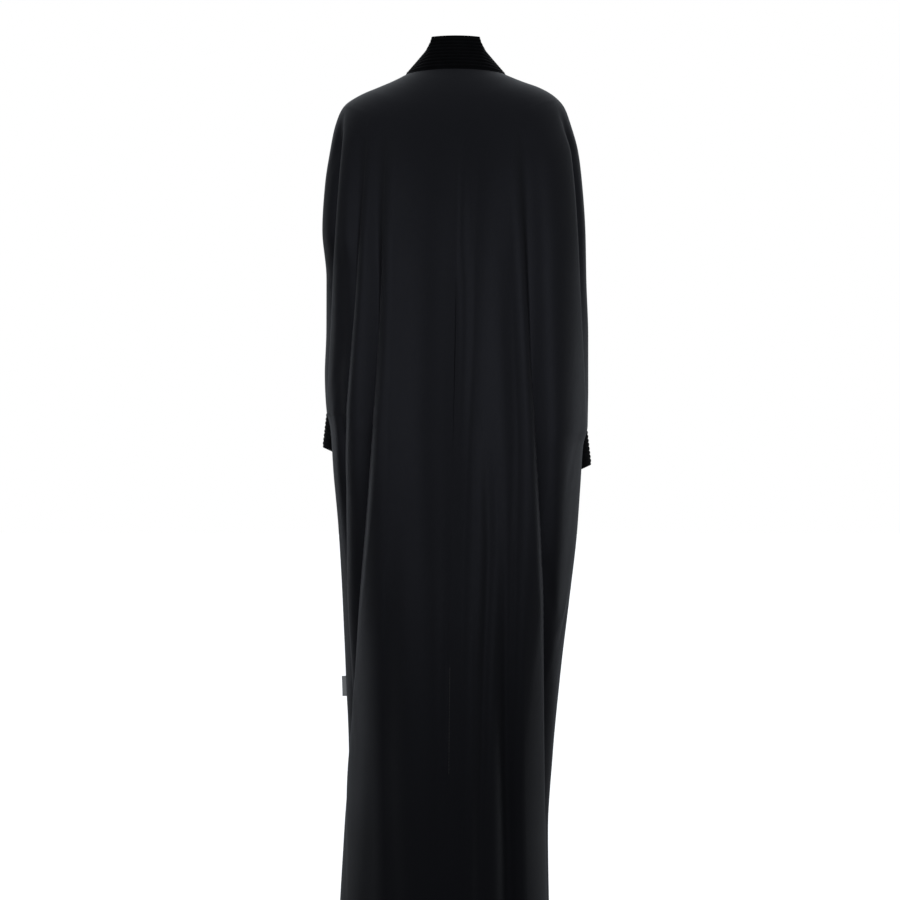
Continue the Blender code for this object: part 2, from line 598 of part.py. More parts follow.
def make_label(surfaces, material):
    """A blank folded tab that stands out of the left side seam."""
    points, normals = surfaces["back", "left"]
    row = int(np.argmin(np.abs(ROWS - LABEL_ROW)))
    top, below = points[row, -1], points[row + 1, -1]
    down = unit(below - top)
    out = normals[row, -1] - (normals[row, -1] * down).sum() * down
    out = unit(out)
    across = np.cross(down, out)
    centre = top + down * (LABEL_DROP + LABEL_HEIGHT / 2) + out * (LABEL_GAP + LABEL_REACH / 2)
    bm = bmesh.new()
    bmesh.ops.create_cube(bm, size=1.0)
    turn = Matrix((out, across, -down)).transposed().to_4x4()
    size = Matrix.Diagonal((LABEL_REACH, LABEL_THICK, LABEL_HEIGHT, 1.0))
    bmesh.ops.transform(bm, matrix=Matrix.Translation(centre) @ turn @ size, verts=bm.verts)
    bmesh.ops.recalc_face_normals(bm, faces=bm.faces)
    mesh = bpy.data.meshes.new("side_label")
    bm.to_mesh(mesh)
    bm.free()
    mesh.materials.append(material)
    return bpy.data.objects.new("side_label", mesh)


def main():
    for item in list(bpy.data.objects):
        bpy.data.objects.remove(item, do_unlink=True)
    collection = bpy.data.collections.new("abaya_cloak")
    bpy.context.scene.collection.children.link(collection)
    crepe = make_material("black_crepe", (0.010, 0.010, 0.012), 0.80, 0.25)
    velvet = make_material("black_velvet", (0.003, 0.003, 0.004), 0.95, 0.40)
    woven = make_material("woven_label", (0.020, 0.020, 0.021), 0.70, 0.10)
    surfaces = body_surfaces()
    pieces = [make_panel(face, word, surfaces, crepe) for face, word in surfaces]
    pieces.append(make_collar_band(surfaces, velvet))
    pieces += [make_cuff(word, velvet) for word in SIDES]
    pieces.append(make_label(surfaces, woven))
    for piece in pieces:
        collection.objects.link(piece)


main()
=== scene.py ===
"""Looks of the abaya cloak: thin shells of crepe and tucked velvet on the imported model's forms."""

from collections import namedtuple

import bmesh
import bpy
import numpy as np
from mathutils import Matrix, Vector


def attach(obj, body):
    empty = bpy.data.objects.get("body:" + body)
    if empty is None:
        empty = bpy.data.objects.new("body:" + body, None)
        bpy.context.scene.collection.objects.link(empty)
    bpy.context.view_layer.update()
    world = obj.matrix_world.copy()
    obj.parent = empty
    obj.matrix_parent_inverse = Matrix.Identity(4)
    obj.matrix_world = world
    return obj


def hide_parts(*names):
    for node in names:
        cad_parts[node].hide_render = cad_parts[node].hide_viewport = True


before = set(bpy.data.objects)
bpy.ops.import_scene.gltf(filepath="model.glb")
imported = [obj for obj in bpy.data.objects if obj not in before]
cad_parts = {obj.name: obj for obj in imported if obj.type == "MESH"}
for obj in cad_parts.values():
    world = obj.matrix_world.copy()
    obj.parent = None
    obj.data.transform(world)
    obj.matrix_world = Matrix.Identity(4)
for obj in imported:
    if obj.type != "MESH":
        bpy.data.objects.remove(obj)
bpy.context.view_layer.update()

# ---------------------------------------------------------------- driving dimensions
TUCK_RISE = 0.0012  # how far a tuck stands out of the velvet
BAND_WIDTH, BAND_TUCKS = 0.0625, 9  # the collar band, and how many tucks run along it
CUFF_LENGTH, CUFF_TUCKS = 0.0680, 9  # a cuff, and how many tucks run round it
TUCK_MARGIN = 0.06  # plain share of a tucked width at each edge
CLOSE_FRONT = 0.0070  # the front bands' free edges stay this far from the middle
LABEL_HEIGHT = 0.034  # height of the label

# Sections, from the neckline to the hem, with a column for each size. left and right are the widths of
# the outline, side is the height of the seam over the shoulder and arm and down the side, seam is that
# seam's angle from the middle of the back, and opening is the front edge's distance from the middle.
Section = namedtuple("Section", "side left right y_side seam back y_back front y_front opening power")
SECTIONS = [
    Section(-0.013, 0.0865, 0.0820, 0.000, 90, -0.0085, -0.066, -0.018, 0.032, 0.0800, 2.10),
    Section(-0.024, 0.1088, 0.1098, 0.000, 90, -0.034, -0.084, -0.040, 0.048, 0.0890, 2.10),
    Section(-0.034, 0.1324, 0.1376, 0.000, 90, -0.058, -0.097, -0.066, 0.068, 0.0885, 2.15),
    Section(-0.047, 0.1624, 0.1606, 0.000, 91, -0.084, -0.107, -0.094, 0.084, 0.0865, 2.20),
    Section(-0.066, 0.1894, 0.1786, 0.000, 92, -0.113, -0.115, -0.122, 0.097, 0.0840, 2.20),
    Section(-0.098, 0.2034, 0.1906, 0.000, 94, -0.146, -0.122, -0.154, 0.108, 0.0810, 2.25),
    Section(-0.142, 0.2124, 0.2021, 0.000, 96, -0.187, -0.128, -0.192, 0.117, 0.0770, 2.30),
    Section(-0.200, 0.2209, 0.2091, -0.002, 98, -0.238, -0.133, -0.240, 0.124, 0.0725, 2.30),
    Section(-0.275, 0.2251, 0.2142, -0.003, 99, -0.304, -0.137, -0.304, 0.130, 0.0690, 2.35),
    Section(-0.360, 0.2180, 0.2162, 0.004, 99, -0.380, -0.140, -0.380, 0.135, 0.0670, 2.40),
    Section(-0.450, 0.2180, 0.2194, 0.010, 99, -0.463, -0.143, -0.463, 0.139, 0.0665, 2.40),
    Section(-0.535, 0.2210, 0.2194, 0.015, 100, -0.543, -0.147, -0.543, 0.143, 0.0665, 2.40),
    Section(-0.600, 0.2192, 0.2190, 0.014, 103, -0.605, -0.150, -0.605, 0.146, 0.0665, 2.40),
    Section(-0.635, 0.2114, 0.2106, -0.004, 126, -0.650, -0.152, -0.650, 0.148, 0.0665, 2.35),
    Section(-0.700, 0.2064, 0.2061, -0.008, 124, -0.708, -0.155, -0.708, 0.151, 0.0665, 2.30),
    Section(-0.785, 0.1978, 0.2000, -0.008, 118, -0.790, -0.160, -0.790, 0.156, 0.0665, 2.25),
    Section(-0.890, 0.1914, 0.1881, -0.004, 106, -0.892, -0.167, -0.892, 0.163, 0.0665, 2.20),
    Section(-1.020, 0.1869, 0.1736, 0.000, 96, -1.020, -0.177, -1.020, 0.172, 0.0670, 2.15),
    Section(-1.150, 0.1821, 0.1611, 0.000, 92, -1.150, -0.187, -1.150, 0.182, 0.0680, 2.10),
    Section(-1.290, 0.1884, 0.1528, 0.000, 92, -1.290, -0.198, -1.290, 0.193, 0.0690, 2.05),
    Section(-1.460, 0.2004, 0.1556, 0.000, 92, -1.460, -0.212, -1.460, 0.206, 0.0700, 2.00),
]
WRIST = 12  # a cuff's ring takes up the rows from this section to the next
HEM = len(SECTIONS) - 1

# The hanging folds: each has a crest with a steep valley beside it, on the side away from the middle where
# edge is -1. x is the crest's distance from the middle plane and depth the valley's, at six heights. steep
# and gentle are the valley's widths, in degrees of section.
Fold = namedtuple("Fold", "side face edge steep gentle x depth")
FOLD_HEIGHTS = (-0.08, -0.15, -0.38, -0.66, -1.00, -1.46)
FOLDS = [
    Fold(-1, "back", -1, 2.6, 7.0, (0.187, 0.1945, 0.211, 0.218, 0.190, 0.204), (5, 12, 8, 0, 0, 0)),
    Fold(-1, "back", -1, 3.0, 8.0, (0.1475, 0.151, 0.1685, 0.186, 0.182, 0.180), (2, 5, 10, 14, 3, 0)),
    Fold(-1, "back", -1, 3.2, 10.0, (0.1135, 0.1155, 0.124, 0.138, 0.1670, 0.197), (2, 5, 10, 16, 17, 5)),
    Fold(-1, "back", 1, 3.4, 9.0, (0.100, 0.100, 0.1025, 0.110, 0.123, 0.116), (0, 0, 2, 3, 3, 5)),
    Fold(1, "back", 1, 3.0, 7.0, (0.032, 0.0315, 0.0265, 0.0155, 0.009, 0.009), (0, 4, 6, 6, 4, 3)),
    Fold(1, "back", -1, 3.4, 9.0, (0.032, 0.032, 0.031, 0.026, 0.026, 0.026), (0, 0, 2, 4, 6, 6)),
    Fold(1, "back", 1, 3.0, 10.0, (0.087, 0.087, 0.0885, 0.097, 0.0955, 0.102), (0, 0, 5, 10, 15, 18)),
    Fold(1, "back", -1, 3.0, 9.0, (0.0965, 0.100, 0.113, 0.127, 0.141, 0.149), (2, 5, 9, 13, 14, 7)),
    Fold(1, "back", -1, 2.6, 7.0, (0.168, 0.1915, 0.208, 0.217, 0.174, 0.158), (5, 10, 7, 0, 0, 0)),
    Fold(1, "front", -1, 5.0, 10.0, (0.140, 0.145, 0.1465, 0.135, 0.130, 0.1275), (0, 0, 3, 6, 12, 19)),
    Fold(1, "front", 1, 5.0, 9.0, (0.130, 0.130, 0.1275, 0.1195, 0.1125, 0.107), (0, 0, 5, 9, 15, 22)),
    Fold(-1, "front", -1, 5.0, 10.0, (0.145, 0.145, 0.1465, 0.135, 0.138, 0.1505), (0, 0, 3, 6, 12, 17)),
    Fold(-1, "front", 1, 5.0, 9.0, (0.125, 0.125, 0.123, 0.115, 0.1155, 0.119), (0, 0, 4, 10, 17, 24)),
]
FOLD_TOP, FOLD_FULL = -0.055, -0.15  # folds begin under the shoulder and have full depth from here
CENTRE_SEAM = (0.000, 0.000, -0.003, -0.008, -0.0144, -0.018)  # x of the centre-back seam at those heights
CENTRE_FULL = 4  # the centre-back seam leaves the middle plane down to this level

# The wrist, on the right side: centre and half axes of the ring where a cuff is sewn on.
RING_X, RING_Y, RING_Z = 0.181, 0.050, -0.6175
RING_RX, RING_RY = 0.039, 0.033
RING_TILT = 0.44  # drop for each metre towards the body
LEFT_LIFT = 0.0295  # the left hand is held this much higher
LIFT_SPREAD, LIFT_EVEN = 2.6, 6  # how that lift fades up and down, and how even it is round the arm
CUFF_FLARE = 0.0030  # growth of the cuff towards its open end
CUFF_LEAN = 0.0040  # its open end is this much further from the body
# Where the side seam falls below the wrist, beside the cuff, until it is back in the plain section.
Fall = namedtuple("Fall", "level x y share")
FALLS = [
    Fall(13.0, 0.1420, 0.050, 1.0),
    Fall(13.15, 0.1350, 0.050, 1.0),
    Fall(14.0, 0.1370, 0.047, 1.0),
    Fall(15.0, 0.1500, 0.036, 1.0),
    Fall(16.0, 0.1720, 0.020, 0.8),
    Fall(17.0, 0.1760, 0.010, 0.0),
    Fall(18.0, 0.1760, 0.010, 0.0),
]
RING_UNDER = 0.15  # the level below the ring at which the seam is clear of the cuff
WEB_BEGIN, WEB_END = (11, 12), (15.5, 17)  # between these levels the cloth is led to the wrist
BEHIND_END = (14, 16)  # it comes back from behind the cuff
RISE_BEGIN, RISE_END = (11.5, 12), (12.8, 13.15)  # it comes to the cuff from above
WEB_ROUND = 0.012  # how far the drape turns round at its outer edge behind the cuff
WEB_BACK = (0.015, 0.040)  # how far the web reaches back from its seam, before and behind the cuff
WEB_INWARD = 0.004  # and how far towards the body
WEB_RISE = 0.010  # and how far it rises above it
WEB_FRONT = 150.0  # angle of the section where the front is free of the wrist
FRONT_CURVE = ((0.0, 0.45, 0.3), (0.25, 0.97, 0.7))  # how the front leaves its seam, in x, y and z
OUTLINE_REACH = 130.0  # the outline is looked for between these angles to the left and right
OUTLINE_SOFT, OUTLINE_COUNT = 0.0015, 12  # rounding of its widest point, and how many degrees share it
LEVELLING = (85, 95)  # between these angles the web takes over from the outline's widths

# The collar band's slope at places along its seam: -1 is the middle of the back, 0 is the shoulder
# point, and from there a place is a section's number. The three columns are a direction.
Slope = namedtuple("Slope", "place inward forward up")
SLOPES = [
    Slope(-1.00, 0.000, 0.365, 0.931),
    Slope(-0.70, 0.045, 0.369, 0.928),
    Slope(-0.50, 0.335, 0.331, 0.882),
    Slope(-0.25, 0.535, 0.420, 0.733),
    Slope(0.00, 0.495, 0.630, 0.598),
    Slope(1.00, 0.560, 0.70, 0.30),
    Slope(2.00, 0.660, 0.66, 0.05),
    Slope(3.00, 0.760, 0.52, -0.08),
    Slope(4.00, 0.840, 0.40, -0.14),
    Slope(6.00, 0.960, 0.22, -0.10),
    Slope(8.00, 1.000, 0.10, -0.02),
    Slope(9.00, 1.000, 0.06, 0.00),
    Slope(HEM, 1.000, 0.03, 0.00),
]
BAND_BULGE, BULGE_BEGIN = 0.0030, (1, 6)  # its roundness, and the places where that begins

# ---------------------------------------------------------------- angles, sides and units
NORMAL_PASSES = 2  # how often the normals inside a panel are evened out
HALF_STEP = 0.5  # degrees to each side, for the direction along a section
SEAM_EXACT = 14  # from the wrist the side seam keeps its own line, and has left it at this level
SIDE_ANGLE = 90.0  # angle of a section's side, where its back half ends
LEAST_SPAN = 1e-3  # keeps the web's span above zero where the seam lies at the section's side
NO_WEB = 89.0  # up to this angle a section has no web
SIDES = {"left": -1, "right": 1}
MM = 0.001


# ---------------------------------------------------------------- smooth curves through tables
def smooth(keys, values, at):
    """A curve through the values that never overshoots them (a monotone cubic)."""
    keys, values, at = (np.asarray(a, float) for a in (keys, values, at))
    if keys[0] > keys[-1]:
        keys, values = keys[::-1], values[::-1]
    span = np.diff(keys)
    slope = np.diff(values) / span
    tangent = np.zeros(len(keys))
    tangent[0], tangent[-1] = slope[0], slope[-1]
    steady = slope[:-1] * slope[1:] > 0
    before = np.where(steady, slope[:-1], 1)
    after = np.where(steady, slope[1:], 1)
    weight_before, weight_after = 2 * span[1:] + span[:-1], span[1:] + 2 * span[:-1]
    mean = (weight_before + weight_after) / (weight_before / before + weight_after / after)
    tangent[1:-1] = np.where(steady, mean, 0)
    at = np.clip(at, keys[0], keys[-1])
    i = np.clip(np.searchsorted(keys, at, side="right") - 1, 0, len(keys) - 2)
    t = (at - keys[i]) / span[i]
    return (
        values[i] * (1 + 2 * t) * (1 - t) ** 2
        + tangent[i] * span[i] * t * (1 - t) ** 2
        + values[i + 1] * t * t * (3 - 2 * t)
        + tangent[i + 1] * span[i] * t * t * (t - 1)
    )


def section(column, v):
    """A column of the table of sections, at any level."""
    return smooth(range(len(SECTIONS)), [getattr(row, column) for row in SECTIONS], v)


def ease(t):
    """A smooth step from 0 to 1."""
    t = np.clip(t, 0, 1)
    return t * t * (3 - 2 * t)


def phase(levels, v):
    """0 before the first level and 1 after the second."""
    return ease((v - levels[0]) / (levels[1] - levels[0]))


def unit(vectors):
    """The vectors with a length of 1."""
    return vectors / np.linalg.norm(vectors, axis=-1, keepdims=True)


# ---------------------------------------------------------------- the draped body
def middle(v):
    """x of the middle of the section at this level."""
    return (section("right", v) - section("left", v)) / 2


def half_width(v):
    return (section("right", v) + section("left", v)) / 2


def plain_section(angle, v):
    """The section with no folds. The angle runs from the middle of the back, left is negative."""
    turn = np.radians(np.abs(angle))
    side = np.where(angle < 0, -1.0, 1.0)
    power = 2 / section("power", v)
    across = np.abs(np.sin(turn)) ** power
    along = np.abs(np.cos(turn)) ** power
    back = turn < np.pi / 2
    y_side = section("y_side", v)
    y_end = np.where(back, section("y_back", v), section("y_front", v))
    lift = np.where(side < 0, LEFT_LIFT * np.exp(-(((v - WRIST - 0.5) / LIFT_SPREAD) ** 2)), 0.0)
    z_side = section("side", v)
    z_end = np.where(back, section("back", v), section("front", v))
    x = middle(v) + side * half_width(v) * across
    y = y_side + (y_end - y_side) * along
    z = z_side + (z_end - z_side) * np.cos(turn) ** 2 + lift * (1 - np.cos(turn) ** LIFT_EVEN)
    return np.stack([x, y, z], axis=-1)


def angle_at(side, face, x, v):
    """The angle of the point of the section that lies at this distance from the middle plane."""
    share = np.clip((x - side * middle(v)) / half_width(v), -1.0, 1.0)
    turn = np.degrees(np.arcsin(np.sign(share) * np.abs(share) ** (section("power", v) / 2)))
    return side * (turn if face == "back" else 180 - turn)


def centre_seam_angle(v):
    x = smooth(FOLD_HEIGHTS, CENTRE_SEAM, section("side", v)) * ease(v / CENTRE_FULL)
    return angle_at(1, "back", x, v)


def ring_point(side, turn, front, drop=0.0, grow=0.0, lean=0.0):
    """A point of the wrist's ring: turn 0 is its outer side and pi is the side at the body."""
    lift = LEFT_LIFT if side < 0 else 0.0
    across = (RING_RX + grow) * np.cos(turn)
    forward = (RING_RY + grow) * np.sin(turn) * (1 if front else -1)
    height = RING_Z + lift + RING_TILT * across - drop
    return np.stack([side * (RING_X + lean + across), RING_Y + forward, height], axis=-1)


def side_seam(side, face, v):
    """The side seam: over the arm, round the cuff's ring, down beside the cuff and down the side."""
    plain = plain_section(side * section("seam", v), v)
    ring = ring_point(side, np.pi * np.clip(v - WRIST, 0, 1), face == "front")
    levels = [fall.level for fall in FALLS]
    x, y, share = (smooth(levels, [getattr(fall, name) for fall in FALLS], v) for name in Fall._fields[1:])
    beside = np.stack([side * x, y, plain[..., 2]], axis=-1)
    below = beside * share[..., None] + plain * (1 - share[..., None])
    drop = np.clip((v - WRIST - 1) / RING_UNDER, 0, 1)[..., None]
    below = below * drop + ring * (1 - drop)
    above = plain + (ring - plain) * phase(WEB_BEGIN, v)[..., None]
    return np.where((v < WRIST)[..., None], above, np.where((v > WRIST + 1)[..., None], below, ring))


def bezier(points, t):
    """The cubic curve from the first of four points to the last, drawn by the two between."""
    start, one, two, end = points
    t = t[..., None]
    return (
        start * (1 - t) ** 3 + 3 * one * t * (1 - t) ** 2 + 3 * two * t * t * (1 - t) + end * t**3
    )


def webbed(angle, v):
    """The section with the cloth beside the side seam led to the wrist, no folds yet."""
    plain = plain_section(angle, v)
    side = np.where(angle < 0, -1, 1)
    size = np.abs(angle)
    seam = section("seam", v)
    points = plain
    for sign in (-1, 1):
        turn = np.pi * np.clip(v - WRIST, 0, 1)
        edge = plain_section(sign * (SIDE_ANGLE + 0 * v), v)
        span = np.maximum(seam - SIDE_ANGLE, LEAST_SPAN)
        end = side_seam(sign, "back", v)
        behind = turn / np.pi * (1 - phase(BEHIND_END, v))
        rise = WEB_RISE * phase(RISE_BEGIN, v) * (1 - phase(RISE_END, v))
        one, two = edge.copy(), end.copy()
        one[..., 1] += WEB_ROUND
        two[..., 0] -= sign * WEB_INWARD * behind
        two[..., 1] -= WEB_BACK[0] + WEB_BACK[1] * behind
        two[..., 2] += rise * np.sin(turn)
        back = bezier((edge, one, two, end), np.clip((size - SIDE_ANGLE) / span, 0, 1))
        end = side_seam(sign, "front", v)
        free = plain_section(sign * (WEB_FRONT + 0 * v), v)
        one, two = (end + (free - end) * np.array(share) for share in FRONT_CURVE)
        one[..., 2] += rise
        front = bezier((end, one, two, free), np.clip((size - seam) / (WEB_FRONT - seam), 0, 1))
        share = phase(WEB_BEGIN, v) * (1 - phase(WEB_END, v))
        web = np.where((size < seam)[..., None], back, front)
        here = (side == sign) & (size > SIDE_ANGLE) & (size < WEB_FRONT)
        points = np.where(here[..., None], plain + (web - plain) * share[..., None], points)
    return points


def raw_drape(angle, v):
    """The webbed section with its folds, before its width is set."""
    base = webbed(angle, v)
    along = webbed(angle + HALF_STEP, v) - webbed(angle - HALF_STEP, v)
    along[..., 2] = 0
    along = unit(along)
    outward = np.stack([along[..., 1], -along[..., 0], along[..., 2]], axis=-1)
    out, shift = folds(angle, v, base[..., 2])
    return base + outward * out[..., None] + along * shift[..., None]


def soft_largest(rows):
    """Each row's largest value, rounded off so that it changes smoothly from row to row."""
    largest = rows.max(axis=1)
    share = np.exp((rows - largest[:, None]) / OUTLINE_SOFT).sum(axis=1)
    return largest + OUTLINE_SOFT * np.log(share / OUTLINE_COUNT)


# ---------------------------------------------------------------- the four panels
def point_normals(points, outward):
    """Normals at a grid's points, the sum of those of the faces round each point."""
    faces = outward * np.cross(points[1:, 1:] - points[:-1, :-1], points[:-1, 1:] - points[1:, :-1])
    faces = unit(faces)
    normals = np.zeros_like(points)
    for rows in (slice(None, -1), slice(1, None)):
        for columns in (slice(None, -1), slice(1, None)):
            normals[rows, columns] += faces
    return unit(normals)


def smoothed(normals):
    """Evens out the normals inside a panel, so that its wall doesn't cross itself in tight folds."""
    for _ in range(NORMAL_PASSES):
        inside = normals[1:-1, 1:-1] * 2
        inside = inside + normals[:-2, 1:-1] + normals[2:, 1:-1] + normals[1:-1, :-2] + normals[1:-1, 2:]
        normals = normals.copy()
        normals[1:-1, 1:-1] = unit(inside)
    return normals


# ---------------------------------------------------------------- finer than the model
# How many rows there are from each section to the next.
FINE_STEPS = (6, 6, 6, 6, 6, 8, 8, 10, 12, 12, 12, 12, 24, 20, 16, 16, 18, 18, 18, 22)
FINE_ROWS = np.concatenate(
    [level + np.arange(steps) / steps for level, steps in enumerate(FINE_STEPS)] + [[float(HEM)]]
)
SHELL, BAND_SHELL = 0.0011, 0.0016  # walls of the crepe and the velvet here
RIM_ANGLE = np.radians(60)  # edges sharper than this are rims
# The folds' edges at the model's heights: their widths as shares of the model's, and how far their crests
# lean over their valleys as a share of the depth. Each fold has a value for how hard its edge gets.
EDGE_WIDTH = (1.30, 1.10, 0.68, 0.54, 0.50, 0.50)
EDGE_LEAN = (0.10, 0.25, 0.60, 0.74, 0.74, 0.70)
EDGE_HARD = (1.0, 1.0, 1.0, 0.25, 0.05, 0.05, 0.30, 1.0, 1.0, 0.6, 0.8, 0.6, 0.8)
# The section of an edge, in steep widths from its valley to the crest and on: how far it has dropped, as a
# share of the depth, and how much of the lean it has.
Edge = namedtuple("Edge", "past drop lean")
EDGE = [
    Edge(-3.0, 1.00, 0.00),
    Edge(-1.5, 1.00, 0.05),
    Edge(-0.6, 0.99, 0.20),
    Edge(0.0, 0.95, 0.42),
    Edge(0.6, 0.83, 0.76),
    Edge(1.0, 0.66, 0.97),
    Edge(1.3, 0.46, 1.00),
    Edge(1.75, 0.26, 0.82),
    Edge(2.4, 0.10, 0.60),
    Edge(3.2, 0.03, 0.44),
    Edge(6.0, 0.00, 0.16),
    Edge(9.0, 0.00, 0.00),
]
EDGE_PLACE = 1.2  # the crest's place there
SOFT_WIDTH = 1.2  # width of the edge of a fold that isn't hard, as a share of the model's
EDGE_DEEPER = 0.25  # hard folds are this much deeper than the model's
EDGE_OUT = (0.10, 0.30, 0.32, 0.55, 0.78, 0.85)  # crests stand this much further out, as a share of the depth
FINE_SAMPLES = 500
COLUMNS = {"back": 136, "front": 92}
CLOSE_COLUMNS, CLOSE_WIDTH = 3.0, 3.2  # how much closer they are at a fold, and how far, in steep widths
DEEP = 0.006  # a fold of this depth has them fully so


def edge_share(name, past):
    """A column of the table of the edge's section."""
    return smooth([row.past for row in EDGE], [getattr(row, name) for row in EDGE], past)


def fold_edge(number, v, z):
    """A fold's depth, steep width, lean, the angle of its crest before that leans, and its direction."""
    fold = FOLDS[number]
    hard = EDGE_HARD[number]
    depth = smooth(FOLD_HEIGHTS, fold.depth, z) * MM * (1 + EDGE_DEEPER * hard)
    steep = fold.steep * (smooth(FOLD_HEIGHTS, EDGE_WIDTH, z) * hard + SOFT_WIDTH * (1 - hard))
    lean = smooth(FOLD_HEIGHTS, EDGE_LEAN, z) * hard
    back = lean * edge_share("lean", EDGE_PLACE)
    if fold.edge < 0:
        back = back - smooth(FOLD_HEIGHTS, EDGE_OUT, z) * hard
    x = smooth(FOLD_HEIGHTS, fold.x, z) + fold.edge * depth * back
    way = fold.edge * (fold.side if fold.face == "back" else -fold.side)
    return depth, steep, lean, angle_at(fold.side, fold.face, x, v), way


def folds(angle, v, z):
    """The model's folds with sharp crests that lean over their valleys."""
    out, shift = np.zeros_like(z), np.zeros_like(z)
    begun = ease((FOLD_TOP - z) / (FOLD_TOP - FOLD_FULL))
    for number, fold in enumerate(FOLDS):
        depth, steep, lean, crest, way = fold_edge(number, v, z)
        past = (angle - crest) * way / steep + EDGE_PLACE
        gentle = np.exp(-((np.minimum(past, 0) * steep / fold.gentle) ** 2))
        out -= depth * begun * gentle * edge_share("drop", past)
        shift -= depth * begun * way * lean * edge_share("lean", past)
    return out, shift


def draped(angle, v):
    """The body's outer face with its folds, as wide as the outline at every level."""
    levels, place = np.unique(v, return_inverse=True)
    place = place.reshape(v.shape)
    points = raw_drape(angle, v)
    around = np.arange(-OUTLINE_REACH, OUTLINE_REACH + 1, 1.0)
    reach = raw_drape(*np.broadcast_arrays(around, levels[:, None]))[..., 0]
    centre = middle(levels)
    past_web, no_web = phase(WEB_END, levels), np.abs(around) <= NO_WEB

    def widest(out):
        """Each level's largest distance: without the web down to where the web ends."""
        return soft_largest(out[:, no_web]) * (1 - past_web) + soft_largest(out) * past_web

    widest_right = (section("right", levels) - centre) / widest(reach - centre[:, None])
    widest_left = (section("left", levels) + centre) / widest(centre[:, None] - reach)
    from_middle = points[..., 0] - centre[place]
    factor = np.where(from_middle > 0, widest_right[place], widest_left[place])
    levelled = phase(LEVELLING, np.abs(angle)) * phase(WEB_BEGIN, v) * (1 - phase(WEB_END, v))
    factor = factor + (1 - factor) * levelled
    points[..., 0] = centre[place] + from_middle * factor
    return points


def fine_angles(side, face, v):
    """Columns that lie closest together where the folds are."""
    seam = section("seam", v)
    if face == "back":
        low, high = side * centre_seam_angle(v), seam
    else:
        low, high = seam, np.abs(angle_at(side, "front", section("opening", v), v))
    share = np.linspace(0, 1, FINE_SAMPLES)
    at = low[:, None] + (high - low)[:, None] * share
    density = np.ones_like(at)
    z = section("side", v)
    for number, fold in enumerate(FOLDS):
        if (fold.side, fold.face) != (side, face):
            continue
        depth, steep, _, crest, _ = fold_edge(number, v, z)
        near = np.exp(-(((at - np.abs(crest)[:, None]) / (CLOSE_WIDTH * steep[:, None])) ** 2))
        density += CLOSE_COLUMNS * near * np.clip(depth[:, None] / DEEP, 0, 1)
    total = np.cumsum((density[:, 1:] + density[:, :-1]) / 2, axis=1)
    total = np.concatenate([np.zeros((len(v), 1)), total], axis=1)
    total /= total[:, -1:]
    even = np.linspace(0, 1, COLUMNS[face] + 1)
    return side * np.stack([np.interp(even, row, angles) for row, angles in zip(total, at)])


def fine_panel(side, face):
    """A panel's points, with the angle and the level of each."""
    angle = fine_angles(side, face, FINE_ROWS)
    level = np.broadcast_to(FINE_ROWS[:, None], angle.shape).copy()
    points = draped(angle, level)
    seam = -1 if face == "back" else 0
    exact = (FINE_ROWS >= WRIST) * ease(SEAM_EXACT - FINE_ROWS)
    points[:, seam] += exact[:, None] * (side_seam(side, face, FINE_ROWS) - points[:, seam])
    return points, angle, level


def make_piece(name, bm, material):
    """A piece of the scene from a finished bmesh, which rides on the body."""
    bmesh.ops.recalc_face_normals(bm, faces=bm.faces)
    mesh = bpy.data.meshes.new(name)
    bm.to_mesh(mesh)
    bm.free()
    mesh.materials.append(material)
    mesh.shade_smooth()
    piece = bpy.data.objects.new(name, mesh)
    bpy.context.scene.collection.objects.link(piece)
    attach(piece, "root")
    return piece


def shell(name, outer, inner, material, closed=False):
    """A closed thin wall between an outer and an inner grid, a piece of the scene."""
    bm = bmesh.new()
    grids = [[[bm.verts.new(point) for point in row] for row in grid] for grid in (outer, inner)]
    rows = len(outer)
    pairs = [(i, (i + 1) % rows) for i in range(rows if closed else rows - 1)]
    for grid, flip in zip(grids, (False, True)):
        for a, b in pairs:
            for j in range(len(grid[a]) - 1):
                corners = [grid[a][j], grid[a][j + 1], grid[b][j + 1], grid[b][j]]
                bm.faces.new(corners[::-1] if flip else corners)
    top, under = grids
    for a, b in pairs:
        bm.faces.new([top[b][0], under[b][0], under[a][0], top[a][0]])
        bm.faces.new([top[a][-1], under[a][-1], under[b][-1], top[b][-1]])
    if not closed:
        bm.faces.new(top[0][::-1] + under[0])
        bm.faces.new(top[-1] + under[-1][::-1])
    piece = make_piece(name, bm, material)
    piece.data.set_sharp_from_angle(angle=RIM_ANGLE)
    return piece


